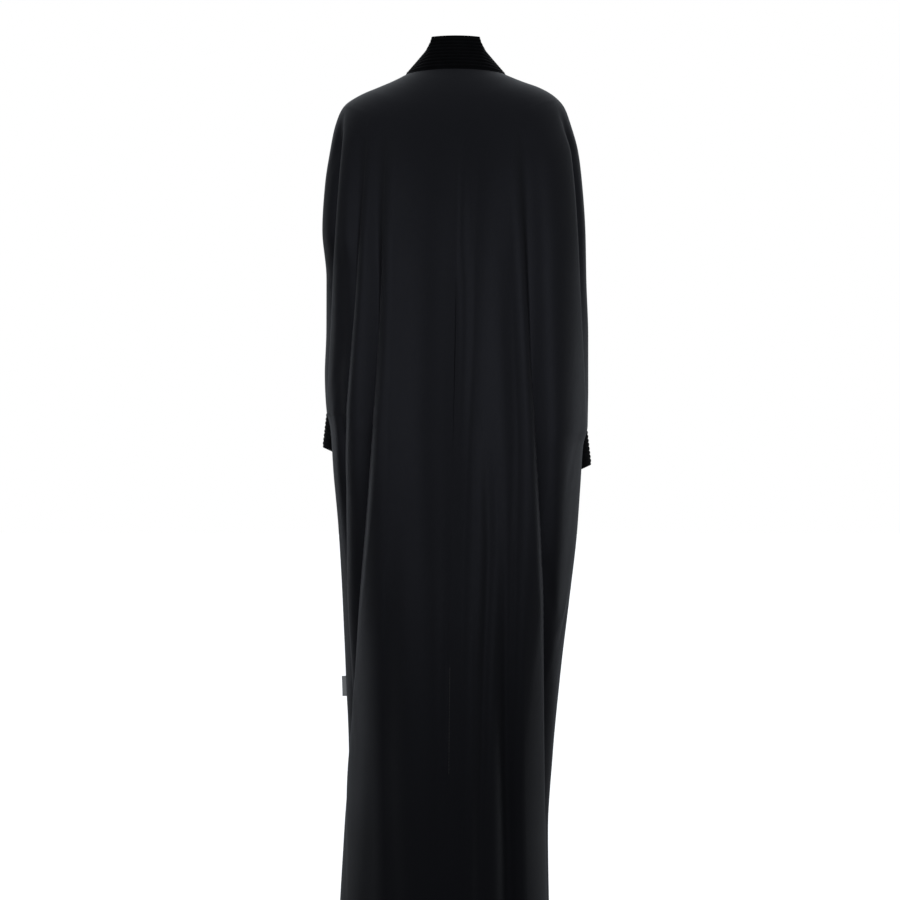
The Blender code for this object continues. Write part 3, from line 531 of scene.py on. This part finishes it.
# ---------------------------------------------------------------- smaller creases
# Each runs from one level and angle to another, and a level past the last section's carries it past the hem.
# depth is in mm and is below 0 for a ridge, bend is how far its middle bows, in degrees, and width is in
# degrees too. Angles past 90 are in front.
Crease = namedtuple("Crease", "side v0 v1 angle0 angle1 bend width depth")
CREASES = [
    # the left sleeve and side
    Crease(-1, 3.6, 8.2, 70, 76, 1.5, 2.6, 0.9),
    Crease(-1, 5.5, 10.4, 81, 84, -2.0, 2.8, -1.0),
    Crease(-1, 8.6, 12.0, 66, 78, 2.5, 2.4, 1.1),
    Crease(-1, 10.2, 12.7, 58, 73, 2.0, 2.2, 0.8),
    Crease(-1, 12.2, 15.0, 70, 60, -1.5, 2.4, 0.9),
    Crease(-1, 16.3, 18.2, 66, 62, 1.0, 2.2, -0.8),
    Crease(-1, 4.6, 9.6, 99, 108, 2.0, 3.0, 1.5),
    Crease(-1, 6.8, 11.6, 117, 110, -3.0, 3.2, -1.3),
    Crease(-1, 9.2, 12.0, 126, 108, 3.0, 2.6, 1.6),
    Crease(-1, 10.6, 12.4, 139, 116, 2.0, 2.4, 1.2),
    Crease(-1, 3.0, 7.0, 131, 126, -1.5, 2.8, 1.0),
    # the right sleeve and side
    Crease(1, 3.9, 8.9, 69, 75, 2.0, 2.6, 0.8),
    Crease(1, 6.2, 11.2, 82, 83, -2.5, 2.8, -1.0),
    Crease(1, 9.3, 12.2, 67, 79, 3.0, 2.3, 1.0),
    Crease(1, 12.4, 14.6, 71, 60, -2.0, 2.2, 0.8),
    Crease(1, 15.2, 16.45, 47, 62.5, 0.0, 2.2, 1.8),
    Crease(1, 15.75, 16.50, 77, 64, 0.0, 1.8, -2.0),
    Crease(1, 15.9, 16.7, 84, 68, 0.0, 2.4, 2.2),
    Crease(1, 16.4, 17.6, 64, 62, 0.5, 1.8, -1.0),
    Crease(1, 4.2, 9.1, 98, 106, 3.0, 3.0, 1.4),
    Crease(1, 7.3, 11.8, 120, 111, -2.0, 3.2, -1.4),
    Crease(1, 9.6, 12.1, 129, 109, 2.0, 2.7, 1.5),
    Crease(1, 11.0, 12.5, 136, 118, 2.5, 2.2, 1.1),
    Crease(1, 2.6, 6.4, 133, 129, -1.0, 2.8, 1.1),
    # the hollows beside the left sleeve and at the hem's left corner
    Crease(-1, 6.6, 16.2, 55, 73, -2.0, 5.0, 6.0),
    Crease(-1, 17.0, 27.0, 46, 42, 0.0, 8.0, 4.0),
    # long soft ones on the back and the fronts
    Crease(1, 4.6, 13.6, 3.2, 0.4, 0.0, 2.2, 3.6),
    Crease(1, 11.6, 21.6, 9.0, 23.5, -1.2, 2.8, 3.8),
    Crease(-1, 14.2, 19.6, 4.6, 4.6, 0.0, 3.0, 1.8),
    Crease(-1, 6.0, 13.4, 34, 30, -1.0, 3.6, 0.7),
    Crease(-1, 12.5, 19.2, 21, 17, 0.8, 3.4, 0.6),
    Crease(1, 8.0, 15.0, 13, 16, 1.2, 3.4, 0.6),
    Crease(1, 13.0, 18.4, 44, 46, -1.0, 2.8, -0.7),
    Crease(1, 5.0, 12.0, 36, 31, 1.0, 3.2, 0.6),
    Crease(-1, 13.4, 19.6, 112, 116, 2.0, 3.6, 1.6),
    Crease(-1, 12.8, 18.0, 131, 136, -1.5, 3.0, -1.2),
    Crease(1, 13.8, 19.8, 109, 114, -2.0, 3.4, 1.5),
    Crease(1, 13.1, 17.2, 130, 133, 1.5, 3.2, -1.1),
]
CREASE_FADE = 1.4  # how steeply a crease fades towards its ends


def crease_depth(side, angle, v):
    """How far the small creases move the cloth inwards."""
    size = np.abs(angle)
    depth = np.zeros_like(size)
    for crease in (c for c in CREASES if c.side == side):
        t = (v - crease.v0) / (crease.v1 - crease.v0)
        inside = np.clip(t, 0, 1)
        middle_angle = crease.angle0 + (crease.angle1 - crease.angle0) * inside
        middle_angle = middle_angle + crease.bend * np.sin(np.pi * inside)
        fade = np.sin(np.pi * inside) ** CREASE_FADE
        depth += crease.depth * MM * fade * np.exp(-(((size - middle_angle) / crease.width) ** 2))
    return depth


# ---------------------------------------------------------------- materials
def shader_nodes(name, values):
    """A new material with these values on its shader, and what its other nodes are made with."""
    material = bpy.data.materials.new(name)
    material.use_nodes = True
    nodes, links = material.node_tree.nodes, material.node_tree.links
    shader = nodes["Principled BSDF"]
    for socket, value in values.items():
        shader.inputs[socket].default_value = value
    where = nodes.new("ShaderNodeTexCoord").outputs["Object"]
    return material, nodes, links, shader, where


def noise(nodes, links, where, scale, detail, rough=0.5, stretch=None):
    """The value of a noise texture, on coordinates that may be stretched."""
    if stretch is not None:
        mapping = nodes.new("ShaderNodeMapping")
        mapping.inputs["Scale"].default_value = stretch
        links.new(where, mapping.inputs["Vector"])
        where = mapping.outputs["Vector"]
    texture = nodes.new("ShaderNodeTexNoise")
    texture.inputs["Scale"].default_value = scale
    texture.inputs["Detail"].default_value = detail
    texture.inputs["Roughness"].default_value = rough
    links.new(where, texture.inputs["Vector"])
    return texture.outputs["Fac"]


def ramp(nodes, links, value, stops):
    """A colour that a value leads from the first (position, colour) to the second."""
    node = nodes.new("ShaderNodeValToRGB")
    for element, (position, colour) in zip(node.color_ramp.elements, stops):
        element.position, element.color = position, (*colour, 1)
    links.new(value, node.inputs["Fac"])
    return node.outputs["Color"]


def bump(nodes, links, heights, shader):
    """Bumps one after another: each is (height, strength, distance)."""
    normal = None
    for height, strength, distance in heights:
        node = nodes.new("ShaderNodeBump")
        node.inputs["Strength"].default_value = strength
        node.inputs["Distance"].default_value = distance
        links.new(height, node.inputs["Height"])
        if normal is not None:
            links.new(normal, node.inputs["Normal"])
        normal = node.outputs["Normal"]
    links.new(normal, shader.inputs["Normal"])


def make_crepe():
    """Matt black crepe: a fine pebbled grain and a faint long grain."""
    values = {
        "Base Color": (0.006, 0.006, 0.0072, 1),
        "Roughness": 0.62,
        "Specular IOR Level": 0.18,
        "Specular Tint": (0.86, 0.86, 1.0, 1),
        "Sheen Weight": 0.08,
        "Sheen Roughness": 0.25,
        "Sheen Tint": (0.78, 0.84, 1.0, 1),
    }
    material, nodes, links, shader, where = shader_nodes("black_crepe_cloth", values)
    grain = noise(nodes, links, where, 1900, 3.0, 0.6)
    slubs = noise(nodes, links, where, 60, 4.0, 0.65, (7.0, 7.0, 0.6))
    cloudy = noise(nodes, links, where, 5.0, 3.0, 0.5)
    colour = ramp(
        nodes, links, cloudy, [(0.30, (0.0040, 0.0040, 0.0048)), (0.70, (0.0052, 0.0052, 0.0062))]
    )
    links.new(colour, shader.inputs["Base Color"])
    rough = nodes.new("ShaderNodeMapRange")
    rough.inputs["To Min"].default_value = 0.46
    rough.inputs["To Max"].default_value = 0.54
    links.new(slubs, rough.inputs["Value"])
    links.new(rough.outputs["Result"], shader.inputs["Roughness"])
    bump(nodes, links, [(slubs, 0.25, 0.0006), (grain, 0.35, 0.00025)], shader)
    return material


def make_velvet():
    """Black velvet: a short upright pile that is brightest where it turns away."""
    values = {
        "Base Color": (0.0020, 0.0020, 0.0024, 1),
        "Roughness": 0.85,
        "Specular IOR Level": 0.06,
        "Sheen Weight": 0.06,
        "Sheen Roughness": 0.30,
    }
    material, nodes, links, shader, where = shader_nodes("black_velvet_pile", values)
    pile = noise(nodes, links, where, 2600, 2.0, 0.7)
    brushed = noise(nodes, links, where, 45, 3.0, 0.6)
    colour = ramp(
        nodes, links, brushed, [(0.35, (0.0010, 0.0010, 0.0014)), (0.65, (0.0020, 0.0020, 0.0026))]
    )
    links.new(colour, shader.inputs["Base Color"])
    bump(nodes, links, [(brushed, 0.15, 0.0010), (pile, 0.5, 0.0003)], shader)
    return material


def make_thread():
    """Black sewing thread with a fine twist."""
    values = {"Base Color": (0.030, 0.029, 0.028, 1), "Roughness": 0.45, "Specular IOR Level": 0.35}
    material, nodes, links, shader, where = shader_nodes("black_thread", values)
    twist = noise(nodes, links, where, 3500, 1.0)
    bump(nodes, links, [(twist, 0.4, 0.0002)], shader)
    return material


def make_tape():
    """Blank woven tape, with the ribs of its weave."""
    values = {"Base Color": (0.6, 0.6, 0.6, 1), "Roughness": 0.5, "Specular IOR Level": 0.30}
    material, nodes, links, shader, where = shader_nodes("blank_woven_tape", values)
    wave = nodes.new("ShaderNodeTexWave")
    wave.bands_direction = "Z"
    wave.inputs["Scale"].default_value = 420
    wave.inputs["Distortion"].default_value = 0.3
    links.new(where, wave.inputs["Vector"])
    colour = ramp(
        nodes, links, wave.outputs["Fac"], [(0.2, (0.38, 0.38, 0.38)), (0.9, (0.72, 0.72, 0.72))]
    )
    links.new(colour, shader.inputs["Base Color"])
    bump(nodes, links, [(wave.outputs["Fac"], 0.5, 0.0003)], shader)
    return material


crepe, velvet, thread, tape = make_crepe(), make_velvet(), make_thread(), make_tape()

# ---------------------------------------------------------------- the crepe panels
SEAM_DIP, SEAM_WIDE = {"centre": 0.00004, "side": 0.0005}, 0.0030  # the cloth dips into its seams
RIDGE, RIDGE_FADE = (-0.986, -1.178), 0.02  # the centre-back seam stands up between these heights
RIDGE_HEIGHT, RIDGE_WIDE = 0.0008, 0.0022
HEM_TURN, HEM_STEP = 0.0120, 0.0009  # depth of the turned-up hem, and its extra layers inside
HEM_FADE = 0.002  # height over which those layers end
HEM_DIP, HEM_DIP_WIDE = 0.0003, 0.0015  # the cloth dips where the turned-up edge is sewn


def share_normals():
    """Alike normals where two panels meet."""
    seams = [(("back", "left"), 0, ("back", "right"), 0)]
    seams += [(("back", word), -1, ("front", word), 0) for word in SIDES]
    for one, column, other, other_column in seams:
        shared = unit(surfaces[one][1][:, column] + surfaces[other][1][:, other_column])
        surfaces[one][1][:, column] = shared
        surfaces[other][1][:, other_column] = shared


def along_seam(points, column):
    """Distance of each point from its row's end in that column."""
    steps = np.linalg.norm(np.diff(points, axis=1), axis=2)
    out = np.concatenate([np.zeros((len(points), 1)), np.cumsum(steps, axis=1)], axis=1)
    return out if column == 0 else out[:, -1:] - out


def above_hem(points):
    """Distance of each point from the hem, up its column."""
    steps = np.linalg.norm(np.diff(points, axis=0), axis=2)
    up = np.cumsum(steps[::-1], axis=0)[::-1]
    return np.concatenate([up, np.zeros((1, points.shape[1]))], axis=0)


surfaces = {}
for word, side in SIDES.items():
    for face in ("back", "front"):
        points, angle, level = fine_panel(side, face)
        surfaces[face, word] = [points, point_normals(points, side), angle, level]
share_normals()

for (face, word), surface in surfaces.items():
    points, normals, angle, level = surface
    side = SIDES[word]
    depth = crease_depth(side, angle, level)
    for column, seam in ((0, "centre" if face == "back" else "side"), (-1, "side")):
        depth = depth + SEAM_DIP[seam] * np.exp(-((along_seam(points, column) / SEAM_WIDE) ** 2))
    depth = depth + HEM_DIP * np.exp(-(((above_hem(points) - HEM_TURN) / HEM_DIP_WIDE) ** 2))
    if face == "back":
        z = points[..., 2]
        caught = ease((RIDGE[0] - z) / RIDGE_FADE) * ease((z - RIDGE[1]) / RIDGE_FADE)
        depth = depth - RIDGE_HEIGHT * caught * np.exp(-((along_seam(points, 0) / RIDGE_WIDE) ** 2))
    points = points - normals * depth[..., None]
    surface[0] = points
    surface[1] = point_normals(points, side)
share_normals()

# A flat cut's width, length and area.
Cut = namedtuple("Cut", "width length area")
for (face, word), (points, normals, angle, level) in surfaces.items():
    thick = SHELL + HEM_STEP * ease((HEM_TURN + HEM_FADE / 2 - above_hem(points)) / HEM_FADE)
    inner = points - smoothed(normals) * thick[..., None]
    outer = points
    if SIDES[word] < 0:
        outer, inner = outer[:, ::-1], inner[:, ::-1]
    piece = shell(f"{face}_{word}_cloth", outer, inner, crepe)
    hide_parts(f"{face}_{word}")

# ---------------------------------------------------------------- velvet band and cuffs
TUCK_POINTS = 6  # points for each tuck
TUCK_ROUND = 0.75  # below 1 a tuck is fuller than a sine wave
MARGIN_RISE = 0.3  # how far the plain margins rise, as a share of the tucks
INSIDE_COLUMNS = 6  # columns of the velvet's inner face
CUFF_AROUND = 96  # points round a cuff
CUFF_UNDER = 0.0030  # a cuff reaches this far up inside its sleeve's edge


def between(start, end, t):
    """Points from start to end at the shares t."""
    return start[:, None] + (end - start)[:, None] * t


def rounded(bulge, t):
    """How far the velvet bows outwards across its width."""
    return np.reshape(bulge, (-1, 1, 1)) * 4 * t * (1 - t)


def fine_tucks(start, end, normals, tucks, bulge):
    """Rows of points across the velvet, with a rounded pin tuck and a tight seam line for each."""
    t = np.linspace(TUCK_MARGIN, 1 - TUCK_MARGIN, tucks * TUCK_POINTS + 1)
    lift = np.abs(np.sin(np.pi * tucks * (t - TUCK_MARGIN) / (1 - 2 * TUCK_MARGIN))) ** TUCK_ROUND
    t = np.concatenate([[0, TUCK_MARGIN / 2], t, [1 - TUCK_MARGIN / 2, 1]])[:, None]
    lift = np.concatenate([[0, MARGIN_RISE], lift, [MARGIN_RISE, 0]])[:, None] * TUCK_RISE
    return between(start, end, t) + unit(between(*normals, t)) * (lift + rounded(bulge, t))


def fine_inside(start, end, normals, bulge):
    """Rows of points across the velvet's smooth inner face."""
    t = (np.arange(INSIDE_COLUMNS + 1) / INSIDE_COLUMNS)[:, None]
    return between(start, end, t) + unit(between(*normals, t)) * (rounded(bulge, t) - BAND_SHELL)


def fine_band_edges():
    """The band's sewn and free edges, from hem to hem round the neck, and its roundness along them."""
    keys = [slope.place for slope in SLOPES]
    halves = []
    for word, side in SIDES.items():
        back, front = surfaces["back", word][0], surfaces["front", word][0]
        angles = np.abs(surfaces["back", word][2][0])
        seam = np.concatenate([back[0, :-1], front[:, -1]])
        places = np.concatenate([angles[:-1] / angles[-1] - 1, FINE_ROWS])
        inward, forward, up = (
            smooth(keys, [getattr(slope, name) for slope in SLOPES], places)
            for name in ("inward", "forward", "up")
        )
        free = seam + BAND_WIDTH * unit(np.stack([-side * inward, forward, up], axis=1))
        in_front = places > 0
        free[in_front, 0] = side * np.maximum(side * free[in_front, 0], CLOSE_FRONT)
        halves.append((seam, free, BAND_BULGE * phase(BULGE_BEGIN, places)))
    return [np.concatenate([left[:0:-1], right]) for left, right in zip(*halves)]


seam, free, bulge = fine_band_edges()
normals = point_normals(np.stack([seam, free], axis=1), 1).transpose(1, 0, 2)
outer = fine_tucks(seam, free, normals, BAND_TUCKS, bulge)
inner = fine_inside(seam, free, normals, bulge)
band_piece = shell("collar_band_velvet", outer, inner, velvet)
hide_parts("collar_band")

for word, side in SIDES.items():
    turn = np.arange(CUFF_AROUND) * 2 * np.pi / CUFF_AROUND
    top = ring_point(side, turn, True, drop=-CUFF_UNDER, grow=-SHELL)
    end = ring_point(side, turn, True, drop=CUFF_LENGTH, grow=CUFF_FLARE, lean=CUFF_LEAN)
    way = unit(end - top)
    around = np.roll(top, -1, axis=0) - np.roll(top, 1, axis=0)
    normals = [unit(np.cross(way, around)) * side] * 2
    outer = fine_tucks(top, end, normals, CUFF_TUCKS, 0.0)
    inner = fine_inside(top, end, normals, 0.0)
    piece = shell(f"cuff_{word}_velvet", outer, inner, velvet, closed=True)
    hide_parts(f"cuff_{word}")

# ---------------------------------------------------------------- the blank label
TAPE, TAPE_ROWS = 0.00035, 14  # thickness of its tape, and rows of points along it
TAPE_HALF = 0.8  # half the distance between its two layers, as a share of the node's half thickness
TAPE_STEPS = (-1.0, -0.3, 0.4)  # places across it before its fold, as shares of its reach
TAPE_BEND = 9  # points round the fold
TAPE_CURL = 0.0004  # how far its middle curls


def make_tape_label():
    """A tab of blank tape, folded at its outer edge, in its node's place."""
    corners = np.array([vertex.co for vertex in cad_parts["side_label"].data.vertices])
    centre = corners.mean(axis=0)
    down, out, across = np.linalg.svd(corners - centre)[2]
    out = -out if out[0] > 0 else out
    down = -down if down[2] > 0 else down
    reach = np.abs((corners - centre) @ out).max()
    half = np.abs((corners - centre) @ across).max() * TAPE_HALF
    bend = np.linspace(-np.pi / 2, np.pi / 2, TAPE_BEND)
    flat = reach * np.array(TAPE_STEPS)
    outs = np.concatenate([flat, reach - half + half * np.cos(bend), flat[::-1]])
    sides = np.concatenate([[-half] * len(flat), half * np.sin(bend), [half] * len(flat)])
    rows = []
    for share in np.linspace(-0.5, 0.5, TAPE_ROWS):
        curl = TAPE_CURL * np.cos(np.pi * share) * (outs + reach)[:, None] / reach
        middle_row = centre + down * share * LABEL_HEIGHT
        rows.append(middle_row + outs[:, None] * out + sides[:, None] * across + curl * across)
    outer = np.stack(rows)
    inward = point_normals(outer, 1)
    if (inward[:, len(outs) // 2] @ out).mean() < 0:
        inward = -inward
    piece = shell("side_label_tape", outer, outer - inward * TAPE, tape)
    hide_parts("side_label")


make_tape_label()

# ---------------------------------------------------------------- stitches
Stitch = namedtuple("Stitch", "pitch length radius")
HAND_STITCH, HEM_STITCH = Stitch(0.0058, 0.0040, 0.00070), Stitch(0.0045, 0.0030, 0.00030)
CAUGHT = (-0.991, -1.173)  # the centre-back seam is caught down by hand between these heights
CAUGHT_ASIDE = 0.0022  # the stitches' distance from the seam
# A stitch's rings: their places along it and their sizes. Its lower part is sunk in the cloth.
STITCH_PLACES, STITCH_SIZES = (0.0, 0.18, 0.5, 0.82, 1.0), (0.25, 0.85, 1.0, 0.85, 0.25)
STITCH_SIDES, STITCH_SUNK = 6, 0.6


def stitches(name, path, normals, stitch):
    """Short stitches along a path, each a tapered bead of thread half sunk in the cloth."""
    steps = np.linalg.norm(np.diff(path, axis=0), axis=1)
    along = np.concatenate([[0], np.cumsum(steps)])
    turn = (np.arange(STITCH_SIDES) * 2 * np.pi / STITCH_SIDES)[:, None]
    bm = bmesh.new()
    for start in np.arange(0, along[-1] - stitch.length, stitch.pitch):
        at = start + stitch.length * np.array(STITCH_PLACES)
        centres = np.stack([np.interp(at, along, path[:, axis]) for axis in range(3)], axis=1)
        halfway = start + stitch.length / 2
        up = unit(np.array([np.interp(halfway, along, normals[:, axis]) for axis in range(3)]))
        across = np.cross(unit(centres[-1] - centres[0]), up)
        rings = []
        for centre, size in zip(centres, STITCH_SIZES):
            ring = centre + up * (size - STITCH_SUNK) * stitch.radius * STITCH_SUNK
            ring = ring + stitch.radius * size * (np.cos(turn) * across + np.sin(turn) * up)
            rings.append([bm.verts.new(point) for point in ring])
        for one, two in zip(rings, rings[1:]):
            for k in range(STITCH_SIDES):
                following = (k + 1) % STITCH_SIDES
                bm.faces.new([one[k], one[following], two[following], two[k]])
        bm.faces.new(rings[0][::-1])
        bm.faces.new(rings[-1])
    make_piece(name, bm, thread)


def line_beside(points, column, distance):
    """A line in a panel at this distance from one of its end columns."""
    line = []
    for row, far in zip(points, along_seam(points, column)):
        order = np.argsort(far)
        line.append([np.interp(distance, far[order], row[order, axis]) for axis in range(3)])
    return np.array(line)


points, normals = surfaces["back", "right"][:2]
line = line_beside(points, 0, CAUGHT_ASIDE)
here = (line[:, 2] < CAUGHT[0]) & (line[:, 2] > CAUGHT[1])
stitches("centre_back_stitches", line[here], normals[here, 0], HAND_STITCH)
for (face, word), surface in surfaces.items():
    points, normals = surface[:2]
    row = int(np.argmin(np.abs(above_hem(points).mean(axis=1) - HEM_TURN)))
    stitches(f"{face}_{word}_hem_stitches", points[row], normals[row], HEM_STITCH)

# ---------------------------------------------------------------- stage, lights, camera
FLOOR, FLOOR_SIZE = -1.490, 60  # its height, 30 mm under the hem, and its size
COOL = (0.90, 0.95, 1.0)  # colour of the studio's light
ROOM_DEPTH = (0.34, 0.60)  # its brightness from behind the camera to behind the garment
ROOM_HEIGHT = (0.28, 1.55)  # and from the floor to the ceiling
Light = namedtuple("Light", "name place size power target spread")
LIGHTS = [
    Light("key_left", (-1.0, -1.55, -0.36), (0.8, 0.7), 0.72, (0, 0, -0.36), 60),
    Light("key_right", (1.0, -1.55, -0.36), (0.8, 0.7), 0.80, (0, 0, -0.36), 60),
    Light("side_left", (-1.95, 0.85, -0.78), (0.7, 0.8), 0.24, (0, 0, -0.72), 31),
    Light("side_right", (1.95, 0.85, -0.78), (0.7, 0.8), 0.19, (0, 0, -0.72), 31),
]
DISTANCE, FRAME_WIDTH = 6.0, 1.512  # the camera's distance, and how much it sees from side to side there
CAMERA_X, CAMERA_Z = -0.0118, -0.642
SENSOR = 36

bpy.ops.mesh.primitive_plane_add(size=FLOOR_SIZE, location=(0, 0, FLOOR))
floor = bpy.context.object
floor.name = "floor"
values = {
    "Base Color": (0.92, 0.92, 0.92, 1),
    "Roughness": 0.9,
    "Emission Color": (1, 1, 1, 1),
    "Emission Strength": 0.6,
}
floor.data.materials.append(shader_nodes("pale_floor", values)[0])
floor.visible_diffuse = floor.visible_glossy = False


def make_world():
    """A white room: brightest behind the garment and over it, dim behind the camera."""
    world = bpy.data.worlds.new("studio")
    bpy.context.scene.world = world
    world.use_nodes = True
    nodes, links = world.node_tree.nodes, world.node_tree.links
    backdrop = nodes["Background"]
    backdrop.inputs["Color"].default_value = (1, 1, 1, 1)
    backdrop.inputs["Strength"].default_value = 1.0
    room = nodes.new("ShaderNodeBackground")
    room.inputs["Color"].default_value = (*COOL, 1)
    split = nodes.new("ShaderNodeSeparateXYZ")
    links.new(nodes.new("ShaderNodeTexCoord").outputs["Generated"], split.inputs["Vector"])
    levels = []
    for axis, limits, values in (("Y", (-0.3, 0.6), ROOM_DEPTH), ("Z", (-0.4, 0.8), ROOM_HEIGHT)):
        level = nodes.new("ShaderNodeMapRange")
        level.interpolation_type = "SMOOTHSTEP"
        level.inputs["From Min"].default_value, level.inputs["From Max"].default_value = limits
        level.inputs["To Min"].default_value, level.inputs["To Max"].default_value = values
        links.new(split.outputs[axis], level.inputs["Value"])
        levels.append(level.outputs["Result"])
    product = nodes.new("ShaderNodeMath")
    product.operation = "MULTIPLY"
    links.new(levels[0], product.inputs[0])
    links.new(levels[1], product.inputs[1])
    links.new(product.outputs["Value"], room.inputs["Strength"])
    mix = nodes.new("ShaderNodeMixShader")
    links.new(nodes.new("ShaderNodeLightPath").outputs["Is Camera Ray"], mix.inputs["Fac"])
    links.new(room.outputs["Background"], mix.inputs[1])
    links.new(backdrop.outputs["Background"], mix.inputs[2])
    links.new(mix.outputs["Shader"], nodes["World Output"].inputs["Surface"])


def area_light(light):
    """A rectangular light turned towards its target, which the camera doesn't see."""
    data = bpy.data.lights.new(light.name, "AREA")
    data.color = COOL
    data.shape, data.size, data.size_y = "RECTANGLE", *light.size
    data.energy, data.spread = light.power, np.radians(light.spread)
    lamp = bpy.data.objects.new(light.name, data)
    lamp.location, lamp.visible_camera = light.place, False
    way = Vector(light.target) - Vector(light.place)
    lamp.rotation_euler = way.to_track_quat("-Z", "Y").to_euler()
    bpy.context.scene.collection.objects.link(lamp)


make_world()
for light in LIGHTS:
    area_light(light)

camera_data = bpy.data.cameras.new("camera")
camera_data.sensor_width = SENSOR
camera_data.lens = SENSOR * DISTANCE / FRAME_WIDTH
camera = bpy.data.objects.new("camera", camera_data)
camera.location = (CAMERA_X, -DISTANCE, CAMERA_Z)
camera.rotation_euler = (np.pi / 2, 0, 0)
bpy.context.scene.collection.objects.link(camera)
bpy.context.scene.camera = camera
bpy.context.scene.view_settings.view_transform = "Standard"
